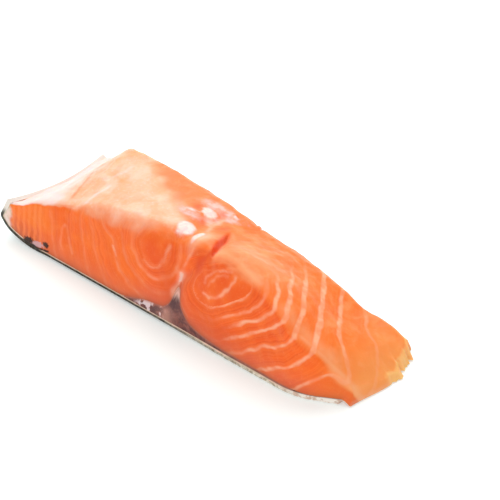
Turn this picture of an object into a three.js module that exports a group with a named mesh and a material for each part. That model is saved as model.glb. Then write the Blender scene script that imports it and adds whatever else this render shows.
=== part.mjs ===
// Raw salmon fillet: one skin-on portion cut across the side of a salmon, lying skin side down.
//
// Millimetres, +Z up. X runs from the dorsal edge (-X) to the belly end (+X). Y runs across the
// portion, from the front cut face (-Y) to the back cut face (+Y). The origin is on the table,
// under the middle of the portion.
//
// Three layers run through the whole width: the skin, the wedge of dark lateral muscle on it,
// and the orange flesh over both. A thin clearance separates them.

import * as THREE from 'three';

// ---------------------------------------------------------------- driving dimensions

const SKIN_THICKNESS = 1.5;
const LAYER_GAP = 0.3;
const FLESH_FLOOR = SKIN_THICKNESS + LAYER_GAP;

// The dorsal edge curls up off the table; the cut there slopes from its tip to its upper edge.
const TIP_X = -5.4;
const TIP_Z = 7.3;
const DORSAL_TOP_X = -1.6;
const DORSAL_TOP_Z = 14.4;
const DORSAL_BACK_DROP = 0.5; // share of the dorsal edge's height that is missing at the back cut
const DORSAL_HOLLOW = 4.8; // how far the dorsal edge curves inwards, seen from above
const DORSAL_REACH = 24; // length over which that hollow fades

const BELLY_X = 149;
const BELLY_ROUNDING = 4.6; // how far the belly end bows outwards, seen from above
const BELLY_SLANT = 1.6; // its back corner lies this much further in than its front corner
const BELLY_REACH = 28;
const BELLY_UNDERCUT = 1.6; // the upper edge of the belly end draws back
const SKIN_END_X = 145.5; // the skin stops short of the belly end

const WIDTH_DORSAL = 52.5;
const WIDTH_BELLY = 43;
const FRONT_TURN = 8.2; // the front edge turns back towards the belly end by this much

// Crease between the dorsal and the belly muscle, from the top of the dark wedge to the upper face.
const CREASE_FOOT_X = 81.5;
const CREASE_SHIFT = 8; // it leans towards the belly by this much on its way up
const CREASE_FOOT_Z = 15;
const CREASE_TOP_Z = 30;
const CREASE_SPREAD = 25;
const CREASE_DEPTH = 1.7;
const CREASE_WIDTH = 2.2;

// Each muscle's lobe bulges out of the cut faces: its middle and spread along X and in height,
// and how far it stands out of the front and of the back cut.
const DORSAL_LOBE = { x: 67, spreadX: 15, z: 20, spreadZ: 12, front: 1, back: 1 };
const BELLY_LOBE = { x: 102, spreadX: 13, z: 18, spreadZ: 11, front: 2, back: 1.5 };

// Gape: a split in the upper face that starts at the crease and runs inwards.
const GAPE_DEPTH = 2.2;
const GAPE_STEEP_SIDE = 0.9; // how far its steep dorsal wall spreads
const GAPE_GENTLE_SIDE = 1.7; // and its gentler belly wall
const GAPE_X = 93.2; // where its line passes GAPE_Y
const GAPE_Y = 8;
const GAPE_SLANT = 0.42; // it runs towards the dorsal edge by this much for each millimetre inwards
const GAPE_OPENING = [5, 10]; // y between which it opens
const GAPE_CLOSING = [18, 26]; // y between which it fades out

// Swellings and hollows of the upper face: height, middle and spread along X and across.
const SWELLINGS = [
  { height: 1.1, x: 88, spreadX: 3.2, y: 11, spreadY: 7 }, // flap between the crease and the gape
  { height: 0.6, x: 99, spreadX: 5, y: 12, spreadY: 9 }, // rim on the belly side of the gape
  { height: -0.7, x: 79, spreadX: 5, y: 22, spreadY: 10 }, // seam between the two muscles
  { height: 0.8, x: 21, spreadX: 2.4, y: 42, spreadY: 2.4 }, // nub at the back
];

// Low ridge across the dorsal muscle; it bows towards the dorsal edge away from RIDGE_BOW_Y.
const RIDGE_HEIGHT = 0.8;
const RIDGE_X = 28.5;
const RIDGE_BOW = 0.012;
const RIDGE_BOW_Y = 12;
const RIDGE_Y = 24;
const RIDGE_SPREAD_X = 2;
const RIDGE_SPREAD_Y = 13;

// ---------------------------------------------------------------- small helpers

/** Smooth step from 0 at a to 1 at b. */
function ramp(a, b, x) {
  const t = Math.min(Math.max((x - a) / (b - a), 0), 1);
  return t * t * (3 - 2 * t);
}

/** Rounded bump of height 1 at centre c, falling off over width s. */
function bump(c, s, x) {
  return Math.exp(-(((x - c) / s) ** 2));
}

/** Smooth curve through [x, value] pairs that never overshoots them. */
function curve(points) {
  const x = points.map((p) => p[0]);
  const y = points.map((p) => p[1]);
  const last = x.length - 1;
  const rise = x.slice(1).map((_, i) => (y[i + 1] - y[i]) / (x[i + 1] - x[i]));
  const slope = x.map((_, i) => {
    if (i === 0) return rise[0];
    if (i === last) return rise[last - 1];
    if (rise[i - 1] * rise[i] <= 0) return 0;
    const before = x[i] - x[i - 1];
    const after = x[i + 1] - x[i];
    const weights = (2 * after + before) / rise[i - 1] + (after + 2 * before) / rise[i];
    return (3 * (before + after)) / weights;
  });
  return (at) => {
    const clamped = Math.min(Math.max(at, x[0]), x[last]);
    let i = 0;
    while (i < last - 1 && clamped > x[i + 1]) i += 1;
    const step = x[i + 1] - x[i];
    const t = (clamped - x[i]) / step;
    const start = (1 + 2 * t) * (1 - t) ** 2 * y[i] + t * (1 - t) ** 2 * step * slope[i];
    const end = t * t * (3 - 2 * t) * y[i + 1] + t * t * (t - 1) * step * slope[i + 1];
    return start + end;
  };
}

// ---------------------------------------------------------------- profiles along X

// Height of the upper face above the table at the front cut, at the back cut, and the extra
// crown between them.
const topAtFront = curve([
  [-9, 12.6], [-3, 14.0], [2, 15.6], [10, 18.8], [18, 21.4], [35, 26.4], [50, 29.6], [63, 31.8],
  [75, 32.6], [84, 32.6], [89, 32.2], [93, 32.6], [99, 33.1], [108, 31.4], [114, 29.4], [119, 27.2],
  [125, 24], [130, 20.4], [136, 16.3], [141, 12.2], [145, 8.4], [148, 5.0], [151, 2.3], [155, 0.9],
]);
const topAtBack = curve([
  [-9, 9.8], [-3, 11.6], [4, 15.2], [8, 18], [12, 21.4], [20, 26.4], [28, 28.8], [36, 29.4],
  [45, 29.2], [55, 28.2], [65, 27.2], [80, 25.2], [92, 23], [104, 20.4], [114, 17.8], [121, 14.6],
  [126, 11.3], [130, 9.3], [136, 8.4], [141, 7.5], [147, 4.7], [150.5, 2.3], [155, 0.9],
]);
const crown = curve([
  [-9, 0], [10, 0.8], [40, 1.6], [60, 1.5], [88, 0.2], [105, 1], [125, 1.5], [140, 1], [150, 0.2], [155, 0],
]);

// How far the cut faces lean inwards for each millimetre of height.
const frontLean = curve([
  [-9, 0.12], [20, 0.18], [60, 0.19], [105, 0.2], [118, 0.19], [128, 0.12], [137, 0.14], [143, 0.34],
  [147, 0.55], [150, 1.3], [155, 1.5],
]);
const backLean = curve([[-9, 0.08], [20, 0.24], [60, 0.26], [100, 0.24], [125, 0.2], [155, 0.12]]);

// Radius of the edge between each cut face and the upper face.
const frontEdge = curve([
  [-9, 0.8], [5, 1.8], [30, 4], [60, 6], [80, 5.6], [92, 4.2], [105, 3], [120, 1.6], [135, 1.2], [155, 0.8],
]);
const backEdge = curve([[-9, 1.5], [10, 4], [40, 8], [80, 8], [110, 6], [125, 3.5], [155, 1.5]]);

// Underside of the flesh where it lies on the skin, before the dark wedge lifts it.
const underside = curve([
  [-8, 9.6], [TIP_X, TIP_Z], [-3, 5.1], [1, 3.5], [7, 2.35], [15, FLESH_FLOOR],
  [SKIN_END_X, FLESH_FLOOR], [148.5, 0.3],
]);

// Thickness of the dark lateral muscle: a low band with a steep wedge up to the crease.
const DARK_START = 58;
const DARK_END = 132;
const darkMuscle = curve([
  [54, 0], [DARK_START, 0.5], [61, 1.3], [68, 3.3], [76, 4.7], [78.8, 7.2], [CREASE_FOOT_X, 13.4],
  [84, 7.6], [88, 3.7], [94, 2], [104, 1.1], [120, 0.7], [DARK_END, 0.4], [137, 0],
]);

// Edges of the portion on the table, seen from above.
const frontFoot = (x) => FRONT_TURN * ramp(124, 152, x) ** 1.6;
const backFoot = (x) => WIDTH_DORSAL + (WIDTH_BELLY - WIDTH_DORSAL) * ramp(-20, 155, x) + bump(60, 40, x);

// ---------------------------------------------------------------- placing points

/** Shift along X that makes the grid follow the crease as it leans towards the belly. */
function creaseShift(x, z) {
  return CREASE_SHIFT * bump(CREASE_FOOT_X, CREASE_SPREAD, x) * ramp(CREASE_FOOT_Z, CREASE_TOP_Z, z);
}

/** How far the belly end bows outwards at t across the width, with small torn steps. */
function bellyBow(x, t) {
  const bow = Math.sin(Math.PI * Math.max(t, 0) ** 1.3);
  const drawnOut = (BELLY_ROUNDING * bow - BELLY_SLANT * t) * ramp(BELLY_X - BELLY_REACH, BELLY_X, x);
  const steps = 0.6 * Math.sin(23 * t + 0.6) + 0.45 * Math.sin(41 * t + 2.1);
  const torn = ramp(0.4, 0.65, t) * (1 - ramp(0.94, 1, t)) * ramp(BELLY_X - 9, BELLY_X, x);
  return drawnOut + steps * torn;
}

/** How far a muscle's lobe is swollen at a point, from 0 to 1. */
function lobeShare(lobe, x, z) {
  return bump(lobe.x, lobe.spreadX, x) * bump(lobe.z, lobe.spreadZ, z);
}

/** How far the dorsal edge is hollowed inwards at t across the width. */
function dorsalHollow(x, t) {
  const hollow = Math.sin(Math.PI * Math.max(t, 0) ** 0.8);
  return DORSAL_HOLLOW * hollow * (1 - ramp(TIP_X - 3, DORSAL_REACH, x));
}

/**
 * Puts a point of the portion in place: x and z in the long section, and the distance across
 * from the front edge. Every layer uses it, so the layers stay parallel.
 */
function place(x, across, z) {
  const front = frontFoot(x);
  const width = backFoot(x) - front;
  const t = across / width;
  const shifted = x + creaseShift(x, z);
  const creaseX = CREASE_FOOT_X + CREASE_SHIFT * ramp(CREASE_FOOT_Z, CREASE_TOP_Z, z);
  const crease = bump(creaseX, CREASE_WIDTH, shifted) * ramp(8, 19, z) * (1 - 0.8 * ramp(19, 27, z));
  const dorsal = lobeShare(DORSAL_LOBE, shifted, z);
  const belly = lobeShare(BELLY_LOBE, shifted, z);
  const frontRelief = CREASE_DEPTH * crease - DORSAL_LOBE.front * dorsal - BELLY_LOBE.front * belly;
  const backRelief = 0.6 * CREASE_DEPTH * crease - DORSAL_LOBE.back * dorsal - BELLY_LOBE.back * belly;
  const y =
    front + across +
    (frontLean(x) * z + frontRelief) * (1 - t) ** 3 -
    (backLean(x) * z + backRelief) * t ** 3;
  return [shifted + dorsalHollow(x, t) + bellyBow(x, t), y, z];
}

/** Depth of the gape at a point of the upper face. */
function gapeDepth(x, y) {
  const beyond = x - (GAPE_X - GAPE_SLANT * (y - GAPE_Y));
  const open = (0.2 + 0.8 * ramp(...GAPE_OPENING, y)) * (1 - ramp(...GAPE_CLOSING, y));
  return GAPE_DEPTH * open * bump(0, beyond < 0 ? GAPE_STEEP_SIDE : GAPE_GENTLE_SIDE, beyond);
}

/** Height of the ridge across the dorsal muscle at a point of the upper face. */
function ridgeHeight(x, y) {
  const middle = RIDGE_X - RIDGE_BOW * (y - RIDGE_BOW_Y) ** 2;
  return RIDGE_HEIGHT * bump(middle, RIDGE_SPREAD_X, x) * bump(RIDGE_Y, RIDGE_SPREAD_Y, y);
}

/** Height change of the upper face from its swellings, its ridge and the gape. */
function topRelief(x, y) {
  let height = ridgeHeight(x, y) - gapeDepth(x, y);
  for (const swelling of SWELLINGS) {
    height +=
      swelling.height * bump(swelling.x, swelling.spreadX, x) * bump(swelling.y, swelling.spreadY, y);
  }
  return height;
}

/** Flesh: x0 is the station on the underside, v runs from front to back, w from the skin up. */
function fleshPoint(x0, v, w) {
  const dorsalEnd = 1 - ramp(TIP_X, TIP_X + 14, x0);
  const bellyEnd = ramp(BELLY_X - 12, BELLY_X, x0);
  const lift = darkMuscle(x0);
  const floor = underside(x0) + (lift + LAYER_GAP) * ramp(0, 0.5, lift);
  // The upper face lies above a point that the end slopes, the crease and the belly's bow move.
  const endShift = (DORSAL_TOP_X - TIP_X) * dorsalEnd - BELLY_UNDERCUT * bellyEnd + bellyBow(x0, v);
  const topX = x0 + endShift + creaseShift(x0, CREASE_TOP_Z);
  const front = frontFoot(x0);
  const width = backFoot(x0) - front;
  const blend = ramp(0.04, 0.96, v);
  const plainTop =
    topAtFront(topX) * (1 - blend) + topAtBack(topX) * blend + crown(topX) * 4 * v * (1 - v);
  const topY =
    front + v * width + frontLean(x0) * plainTop * (1 - v) ** 3 - backLean(x0) * plainTop * v ** 3;
  const top = plainTop + topRelief(topX, topY);
  // Round the upper edges: points in each corner square move onto the edge's arc.
  const radiusLimit = 0.7 * (top - floor);
  const frontRadius = Math.min(frontEdge(topX), radiusLimit);
  const backRadius = Math.min(backEdge(topX), radiusLimit);
  const radius = v < 0.5 ? frontRadius : backRadius;
  let across = v * width;
  let z = floor + (top - floor) * w;
  const centreAcross = Math.min(Math.max(across, frontRadius), width - backRadius);
  const centreZ = Math.min(z, top - radius);
  const da = across - centreAcross;
  const dz = z - centreZ;
  if (dz > 0 && da !== 0) {
    const pull = Math.max(Math.abs(da), Math.abs(dz)) / Math.hypot(da, dz);
    across = centreAcross + da * pull;
    z = centreZ + dz * pull;
  }
  const slope = (DORSAL_TOP_X - TIP_X) / (DORSAL_TOP_Z - TIP_Z);
  const x = x0 + slope * (z - floor) * dorsalEnd - BELLY_UNDERCUT * w * bellyEnd;
  return place(x, across, z);
}

/** Dark lateral muscle: a wedge between skin and flesh that runs through the width. */
function darkPoint(x0, v, w) {
  const width = backFoot(x0) - frontFoot(x0);
  return place(x0, v * width, FLESH_FLOOR + darkMuscle(x0) * w);
}

/**
 * Skin: each rib holds a point on the flesh's outer line, the direction out of the flesh, and
 * how far up the dorsal edge it lies. That edge grows lower towards the back cut.
 */
function skinPoint(rib, v, w) {
  const out = LAYER_GAP + SKIN_THICKNESS * (1 - w);
  const lowered = rib.edgeShare * DORSAL_BACK_DROP * ramp(0, 1, v);
  const x = rib.x + rib.outX * out - lowered * (DORSAL_TOP_X - TIP_X);
  const z = rib.z + rib.outZ * out - lowered * (DORSAL_TOP_Z - TIP_Z);
  const width = backFoot(x) - frontFoot(x);
  return place(x, v * width, z);
}

/** Ribs of the skin: down the dorsal edge, round the tip and along the underside. */
function skinRibs(undersideStations) {
  const rib = (x, z, angle, edgeShare = 0) => {
    return { x, z, edgeShare, outX: Math.cos(angle), outZ: Math.sin(angle) };
  };
  const edgeRise = DORSAL_TOP_Z - TIP_Z;
  const edgeRun = DORSAL_TOP_X - TIP_X;
  const edgeAngle = Math.PI - Math.atan2(edgeRun, edgeRise);
  const outAngle = (x) => 1.5 * Math.PI + Math.atan2(underside(x + 0.3) - underside(x - 0.3), 0.6);
  const tipAngle = outAngle(TIP_X + 0.3);
  const edge = [0.98, 0.65, 0.3, 0].map((t) => rib(TIP_X + edgeRun * t, TIP_Z + edgeRise * t, edgeAngle, t));
  const turn = [0.33, 0.67].map((t) => rib(TIP_X, TIP_Z, edgeAngle + (tipAngle - edgeAngle) * t));
  const flat = undersideStations.map((x, i) => rib(x, underside(x), i === 0 ? tipAngle : outAngle(x)));
  return [...edge, ...turn, ...flat];
}

// ---------------------------------------------------------------- meshes

/** Closed surface of a block: pointAt maps its three directions, each given by its stations. */
function blockGeometry(pointAt, along, across, up) {
  const position = [];
  const index = [];
  const numbers = new Map();
  const vertex = (i, j, k) => {
    const key = `${i},${j},${k}`;
    if (!numbers.has(key)) {
      numbers.set(key, position.length / 3);
      position.push(...pointAt(along[i], across[j], up[k]));
    }
    return numbers.get(key);
  };
  const quad = (a, b, c, d) => index.push(a, b, c, a, c, d);
  const ni = along.length - 1;
  const nj = across.length - 1;
  const nk = up.length - 1;
  for (let i = 0; i < ni; i += 1) {
    for (let j = 0; j < nj; j += 1) {
      quad(vertex(i, j, 0), vertex(i, j + 1, 0), vertex(i + 1, j + 1, 0), vertex(i + 1, j, 0));
      quad(vertex(i, j, nk), vertex(i + 1, j, nk), vertex(i + 1, j + 1, nk), vertex(i, j + 1, nk));
    }
    for (let k = 0; k < nk; k += 1) {
      quad(vertex(i, 0, k), vertex(i + 1, 0, k), vertex(i + 1, 0, k + 1), vertex(i, 0, k + 1));
      quad(vertex(i, nj, k), vertex(i, nj, k + 1), vertex(i + 1, nj, k + 1), vertex(i + 1, nj, k));
    }
  }
  for (let j = 0; j < nj; j += 1) {
    for (let k = 0; k < nk; k += 1) {
      quad(vertex(0, j, k), vertex(0, j, k + 1), vertex(0, j + 1, k + 1), vertex(0, j + 1, k));
      quad(vertex(ni, j, k), vertex(ni, j + 1, k), vertex(ni, j + 1, k + 1), vertex(ni, j, k + 1));
    }
  }
  const geometry = new THREE.BufferGeometry();
  geometry.setAttribute('position', new THREE.Float32BufferAttribute(position, 3));
  geometry.setIndex(index);
  geometry.computeVertexNormals();
  return geometry;
}

/** Stations from a to b, each step no longer than spacing(at) there. */
function stations(a, b, spacing) {
  const list = [a];
  while (list.at(-1) < b) list.push(list.at(-1) + spacing(list.at(-1)));
  const stretch = (b - a) / (list.at(-1) - a);
  return list.map((x) => a + (x - a) * stretch);
}

/** Even stations from 0 to 1. */
const even = (count) => Array.from({ length: count + 1 }, (_, i) => i / count);

/** Stations from 0 to 1 that lie closer together at both ends. */
const eased = (count) => even(count).map((t) => 0.35 * t + 0.325 * (1 - Math.cos(Math.PI * t)));

// The long stations are closer together at both ends and where the wedge and the crease are.
const longSpacing = (x) => {
  const atEnds = 1.6 * bump(TIP_X, 6, x) + 1.8 * bump(BELLY_X, 6, x);
  return 3.4 - 2.45 * bump(83.5, 8, x) - atEnds;
};
const LONG = stations(TIP_X, BELLY_X, longSpacing);
const ACROSS = eased(20);
const UP = even(11).map((t) => 0.5 * t + 0.5 * Math.sin((Math.PI / 2) * t));

const ACROSS_THIN = ACROSS.filter((_, i) => i % 2 === 0);

const darkStations = [DARK_START, ...LONG.filter((x) => x > DARK_START + 1 && x < DARK_END - 1), DARK_END];
const flatStations = stations(18, SKIN_END_X, (x) => (x < 116 ? 16 : 4));
const skinStations = skinRibs([...LONG.filter((x) => x < 17), ...flatStations]);

function layer(name, geometry, color, roughness) {
  const mesh = new THREE.Mesh(geometry, new THREE.MeshStandardMaterial({ color, roughness, metalness: 0 }));
  mesh.name = name;
  return mesh;
}

const fleshBlock = blockGeometry(fleshPoint, LONG, ACROSS, UP);
const darkBlock = blockGeometry(darkPoint, darkStations, ACROSS_THIN, [0, 1]);
const skinBlock = blockGeometry(skinPoint, skinStations, ACROSS_THIN, [0, 1]);

const flesh = layer('flesh', fleshBlock, 0xf47b45, 0.35);
const dark = layer('dark_muscle', darkBlock, 0x84504c, 0.4);
const skin = layer('skin', skinBlock, 0x8f8a7c, 0.3);

const portion = new THREE.Group();
portion.add(flesh, dark, skin);

// Stand the portion on the table, over the origin.
const box = new THREE.Box3().setFromObject(portion);
portion.position.set(-(box.min.x + box.max.x) / 2, -(box.min.y + box.max.y) / 2, -box.min.z);

const fillet = new THREE.Group();
fillet.add(portion);

export default fillet;
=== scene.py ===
"""Looks of the raw salmon fillet: detailed flesh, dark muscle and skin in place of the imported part.

Shapes are worked out in millimetres in the portion's own plan, as in the part's source: x runs
from the dorsal edge towards the belly end, y inwards from the front cut and z up from the table.
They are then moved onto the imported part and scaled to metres.
"""

import math

import bpy
import numpy as np
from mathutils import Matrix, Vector


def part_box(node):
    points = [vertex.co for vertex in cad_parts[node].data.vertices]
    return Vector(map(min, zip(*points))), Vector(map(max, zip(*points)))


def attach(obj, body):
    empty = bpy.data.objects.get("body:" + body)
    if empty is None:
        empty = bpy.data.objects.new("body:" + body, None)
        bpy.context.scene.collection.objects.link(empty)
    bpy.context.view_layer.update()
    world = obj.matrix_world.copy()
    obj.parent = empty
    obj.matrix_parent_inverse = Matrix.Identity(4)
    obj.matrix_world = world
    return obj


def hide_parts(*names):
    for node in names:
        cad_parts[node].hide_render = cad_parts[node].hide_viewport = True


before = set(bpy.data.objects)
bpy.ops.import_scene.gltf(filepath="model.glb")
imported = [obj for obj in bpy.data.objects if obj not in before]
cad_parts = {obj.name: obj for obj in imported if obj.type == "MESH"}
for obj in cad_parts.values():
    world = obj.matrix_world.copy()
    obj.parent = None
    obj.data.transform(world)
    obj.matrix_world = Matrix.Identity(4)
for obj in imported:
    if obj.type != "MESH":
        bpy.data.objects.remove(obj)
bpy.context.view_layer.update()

MM = 0.001

# ---------------- sizes of the portion, mm

SKIN_THICKNESS = 1.5
LAYER_GAP = 0.3  # between the part's layers
SCENE_GAP = 0.02  # between the layers made here
FLESH_FLOOR = SKIN_THICKNESS + LAYER_GAP

# The dorsal edge curls up off the table; the cut there slopes from its tip to its upper edge.
TIP_X = -5.4
TIP_Z = 7.3
DORSAL_TOP_X = -1.6
DORSAL_TOP_Z = 14.4
DORSAL_BACK_DROP = 0.5  # share of the edge's height that is missing at the back cut
DORSAL_HOLLOW = 4.8  # how far the edge curves inwards, seen from above
DORSAL_REACH = 24  # x where that hollow has faded

BELLY_X = 149
BELLY_ROUNDING = 4.6  # how far the belly end bows outwards, seen from above
BELLY_SLANT = 1.6  # how much further in its back corner lies
BELLY_REACH = 28
BELLY_UNDERCUT = 1.6  # its upper edge draws back
SKIN_END_X = 145.5
SKIN_FRONT_LIFT = 0.65  # how far its underside rises at the front cut

WIDTH_DORSAL = 52.5
WIDTH_BELLY = 43
FRONT_TURN = 8.2  # how far the front edge turns back at the belly end

# Crease between the dorsal and the belly muscle, from the dark wedge to the upper face.
CREASE_FOOT_X = 81.5
CREASE_SHIFT = 8  # it leans towards the belly by this much on its way up
CREASE_FOOT_Z = 15
CREASE_TOP_Z = 30
CREASE_SPREAD = 25
CREASE_DEPTH = 1.7
CREASE_WIDTH = 2.2

# The muscles' lobes: middle and spread, and how far they stand out of the two cut faces.
DORSAL_LOBE = {"x": 67, "spread_x": 15, "z": 20, "spread_z": 12, "front": 1, "back": 1}
BELLY_LOBE = {"x": 102, "spread_x": 13, "z": 18, "spread_z": 11, "front": 2, "back": 1.5}

# Gape: a split in the upper face that starts at the crease and runs inwards.
GAPE_DEPTH = 1.9
GAPE_STEEP_SIDE = 0.7  # spread of its dorsal wall
GAPE_GENTLE_SIDE = 1.7  # and of its belly wall
GAPE_X = 93.2  # where its line passes GAPE_Y
GAPE_Y = 8
GAPE_SLANT = 0.42
GAPE_OPENING = (5, 10)  # in y
GAPE_CLOSING = (18, 26)

# Swellings of the upper face: height, middle and spread along x, and across. The last three say
# how their lines slant and bow towards the dorsal edge, and at which y they still lie at x.
SWELLINGS = (
    (1.1, 88, 3.2, 11, 7, 0, 0, 0),  # flap between the crease and the gape
    (0.6, 99, 5, 12, 9, 0, 0, 0),  # rim on the belly side of the gape
    (-0.7, 79, 5, 22, 10, 0, 0, 0),  # seam between the two muscles
    (0.8, 21, 2.2, 42, 2.2, 0, 0, 0),  # nub at the back
    (0.8, 28.5, 1.6, 24, 13, 0, 0.012, 12),  # low ridge across the dorsal muscle
    (-0.9, 22.5, 0.8, 17, 6, 0.4, 0, 11),  # narrow fold beside it
)

# White fat pockets on the upper face: height, whiteness, x, y, half length, half width, turn.
FAT_POCKETS = (
    (0.9, 0.9, 77.4, 12.0, 4.9, 3.7, -47),
    (0.7, 0.75, 73.8, 27.2, 4.2, 3.4, -48),
    (0.4, 0.75, 83.7, 10.8, 4.2, 1.5, 96),
    (0.4, 0.6, 79.6, 34.0, 2.8, 1.3, -42),
    (0.3, 0.5, 70.4, 23.0, 3.6, 1.6, 17),
)


# ---------------- helpers

def ramp(a, b, x):
    """Smooth step from 0 at a to 1 at b; b may be the lower one."""
    t = np.clip((x - a) / (b - a), 0, 1)
    return t * t * (3 - 2 * t)


def bump(centre, width, x):
    """Rounded bump of height 1."""
    return np.exp(-(((x - centre) / width) ** 2))


def curve(points):
    """Smooth curve through (x, value) pairs that never overshoots them."""
    xs = np.array([p[0] for p in points], float)
    ys = np.array([p[1] for p in points], float)
    step = np.diff(xs)
    rise = np.diff(ys) / step
    slope = np.zeros(len(xs))
    slope[0] = rise[0]
    slope[-1] = rise[-1]
    for i in range(1, len(xs) - 1):
        if rise[i - 1] * rise[i] > 0:
            before = (2 * step[i] + step[i - 1]) / rise[i - 1]
            after = (step[i] + 2 * step[i - 1]) / rise[i]
            slope[i] = 3 * (step[i - 1] + step[i]) / (before + after)

    def value(at):
        at = np.clip(at, xs[0], xs[-1])
        i = np.clip(np.searchsorted(xs, at, side="right") - 1, 0, len(step) - 1)
        t = (at - xs[i]) / step[i]
        start = (1 + 2 * t) * (1 - t) ** 2 * ys[i] + t * (1 - t) ** 2 * step[i] * slope[i]
        end = t * t * (3 - 2 * t) * ys[i + 1] + t * t * (t - 1) * step[i] * slope[i + 1]
        return start + end

    return value


def waves(x, y, z, size, seed, count=14):
    """Smooth seeded unevenness between about -1 and 1, with features of the given size."""
    draw = np.random.default_rng(seed)
    total = 0
    for _ in range(count):
        direction = draw.normal(size=3)
        direction *= 2 * math.pi / (size * draw.uniform(0.7, 1.6)) / np.linalg.norm(direction)
        phase = draw.uniform(0, 6.3)
        total = total + np.sin(x * direction[0] + y * direction[1] + z * direction[2] + phase)
    return total * math.sqrt(2 / count) * 0.6


def in_oval(x, y, centre_x, centre_y, long, short, turn):
    """Place in a turned oval, along and beside: 0 in its middle, 1 at its ends."""
    c, s = math.cos(math.radians(turn)), math.sin(math.radians(turn))
    along = ((x - centre_x) * c + (y - centre_y) * s) / long
    beside = (-(x - centre_x) * s + (y - centre_y) * c) / short
    return along, beside


def spot(x, y, centre_x, centre_y, long, short, turn=0):
    """1 in the middle of an oval, fading out round it."""
    along, beside = in_oval(x, y, centre_x, centre_y, long, short, turn)
    return np.exp(-along ** 2 - beside ** 2)


def spots(x, y, rows):
    """The clearest of several spots. Each row: clearness, then the oval."""
    return np.max([clearness * spot(x, y, *oval) for clearness, *oval in rows], axis=0)


def thread(x, y, points, width):
    """1 on a line through points, fading over width."""
    nearest = np.full(x.shape, 1e3)
    for (x_a, y_a), (x_b, y_b) in zip(points, points[1:]):
        length = math.hypot(x_b - x_a, y_b - y_a)
        t = np.clip(((x - x_a) * (x_b - x_a) + (y - y_a) * (y_b - y_a)) / length ** 2, 0, 1)
        gap = np.hypot(x - x_a - t * (x_b - x_a), y - y_a - t * (y_b - y_a))
        nearest = np.minimum(nearest, gap)
    return np.exp(-(nearest / width) ** 2)


def threads(x, y, rows):
    """The clearest of several threads. Each row: clearness, width, points."""
    return np.max([clearness * thread(x, y, points, width) for clearness, width, points in rows], axis=0)


# ---------------- profiles, as in the part

# Height of the upper face at the front cut, at the back cut, and the extra crown between them.
top_at_front = curve([
    (-9, 12.6), (-3, 14), (2, 15.6), (10, 18.8), (18, 21.4), (35, 26.4), (50, 29.6), (63, 31.8),
    (75, 32.6), (84, 32.6), (89, 32.2), (93, 32.6), (99, 33.1), (108, 31.4), (114, 29.4), (119, 27.2),
    (125, 24), (130, 20.4), (136, 16.3), (141, 12.2), (145, 8.4), (148, 5), (151, 2.3), (155, 0.9),
])
top_at_back = curve([
    (-9, 9.8), (-3, 11.6), (4, 15.2), (8, 18), (12, 21.4), (20, 26.4), (28, 28.8), (36, 29.4),
    (45, 29.2), (55, 28.2), (65, 27.2), (80, 25.2), (92, 23), (104, 20.4), (114, 17.8), (121, 14.6),
    (126, 11.3), (130, 9.3), (136, 8.4), (141, 7.5), (147, 4.7), (150.5, 2.3), (155, 0.9),
])
crown = curve([
    (-9, 0), (10, 0.8), (40, 1.6), (60, 1.5), (88, 0.2), (105, 1), (125, 1.5), (140, 1), (150, 0.2),
    (155, 0),
])

# How far the cut faces lean inwards for each millimetre of height.
front_lean = curve([
    (-9, 0.12), (20, 0.18), (60, 0.19), (105, 0.2), (118, 0.19), (128, 0.12), (137, 0.14), (143, 0.34),
    (147, 0.55), (150, 1.3), (155, 1.5),
])
back_lean = curve([(-9, 0.08), (20, 0.24), (60, 0.26), (100, 0.24), (125, 0.2), (155, 0.12)])

# Radius of the edge between each cut face and the upper face.
front_edge = curve([
    (-9, 0.8), (5, 1.8), (30, 4), (60, 6), (80, 5.6), (92, 4.2), (105, 3), (120, 1.6), (135, 1.2),
    (155, 0.8),
])
back_edge = curve([(-9, 1.5), (10, 4), (40, 8), (80, 8), (110, 6), (125, 3.5), (155, 1.5)])

# Underside of the flesh where it lies on the skin, before the dark muscle lifts it.
underside = curve([
    (-8, 9.6), (TIP_X, TIP_Z), (-3, 5.1), (1, 3.5), (7, 2.35), (15, FLESH_FLOOR), (SKIN_END_X, FLESH_FLOOR),
    (148.5, 0.3),
])

# Thickness of the dark muscle: a low band with a steep wedge up to the crease.
DARK_START = 58
DARK_END = 132
dark_muscle = curve([
    (54, 0), (DARK_START, 0.5), (61, 1.3), (68, 3.3), (76, 4.7), (78.8, 7.2), (CREASE_FOOT_X, 13.4),
    (84, 7.6), (88, 3.7), (94, 2), (104, 1.1), (120, 0.7), (DARK_END, 0.4), (137, 0),
])


def front_foot(x):
    """y of the portion's front edge on the table."""
    return FRONT_TURN * ramp(124, 152, x) ** 1.6


def back_foot(x):
    """y of the portion's back edge on the table."""
    return WIDTH_DORSAL + (WIDTH_BELLY - WIDTH_DORSAL) * ramp(-20, 155, x) + bump(60, 40, x)


# ---------------- placing points, as in the part

def crease_shift(x, z):
    """Shift along x that makes the grid follow the crease as it leans towards the belly."""
    return CREASE_SHIFT * bump(CREASE_FOOT_X, CREASE_SPREAD, x) * ramp(CREASE_FOOT_Z, CREASE_TOP_Z, z)


def belly_bow(x, t):
    """How far the belly end bows outwards at t across the width, with torn steps and teeth."""
    bow = np.sin(np.pi * np.maximum(t, 0) ** 1.3)
    drawn_out = (BELLY_ROUNDING * bow - BELLY_SLANT * t) * ramp(BELLY_X - BELLY_REACH, BELLY_X, x)
    steps = 0.6 * np.sin(23 * t + 0.6) + 0.45 * np.sin(41 * t + 2.1)
    teeth = 0.4 * np.sin(71 * t + 1) + 0.35 * np.sin(109 * t)
    torn = ramp(0.4, 0.65, t) * (1 - ramp(0.94, 1, t))
    fringe = steps * ramp(BELLY_X - 9, BELLY_X, x) + teeth * ramp(BELLY_X - 3, BELLY_X, x)
    return drawn_out + torn * fringe


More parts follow.
